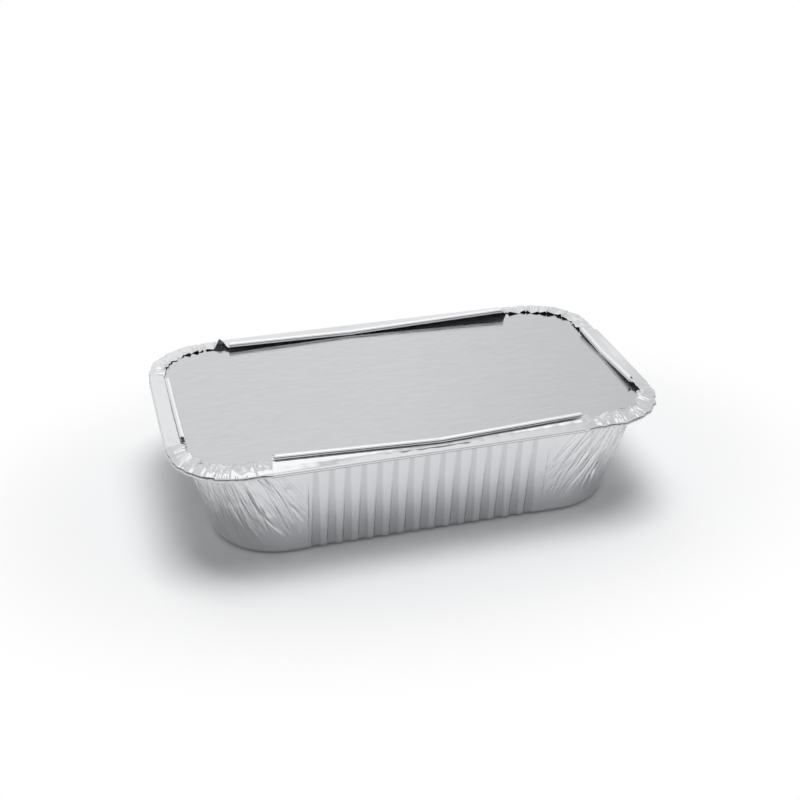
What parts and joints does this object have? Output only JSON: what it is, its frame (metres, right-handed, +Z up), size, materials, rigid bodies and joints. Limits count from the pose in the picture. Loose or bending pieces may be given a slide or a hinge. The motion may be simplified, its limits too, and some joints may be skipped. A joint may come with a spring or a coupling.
{
  "type": "foil food container",
  "caption": "Rectangular pressed foil food tray with fluted walls and a folded, beaded rim that holds down a flat board lid.",
  "frame": {"origin": "on the table, under the middle of the container", "axes": "+X along the long side, +Y to the back, +Z up through the lid"},
  "size_m": [0.203, 0.1222, 0.0496],
  "materials": {
    "foil": "bright rolled foil with fine creases at the corners",
    "laminated_board": "satin metal face on board"
  },
  "bodies": {
    "root": {"foil_tray": "foil", "board_lid": "laminated_board"}
  },
  "joints": []
}
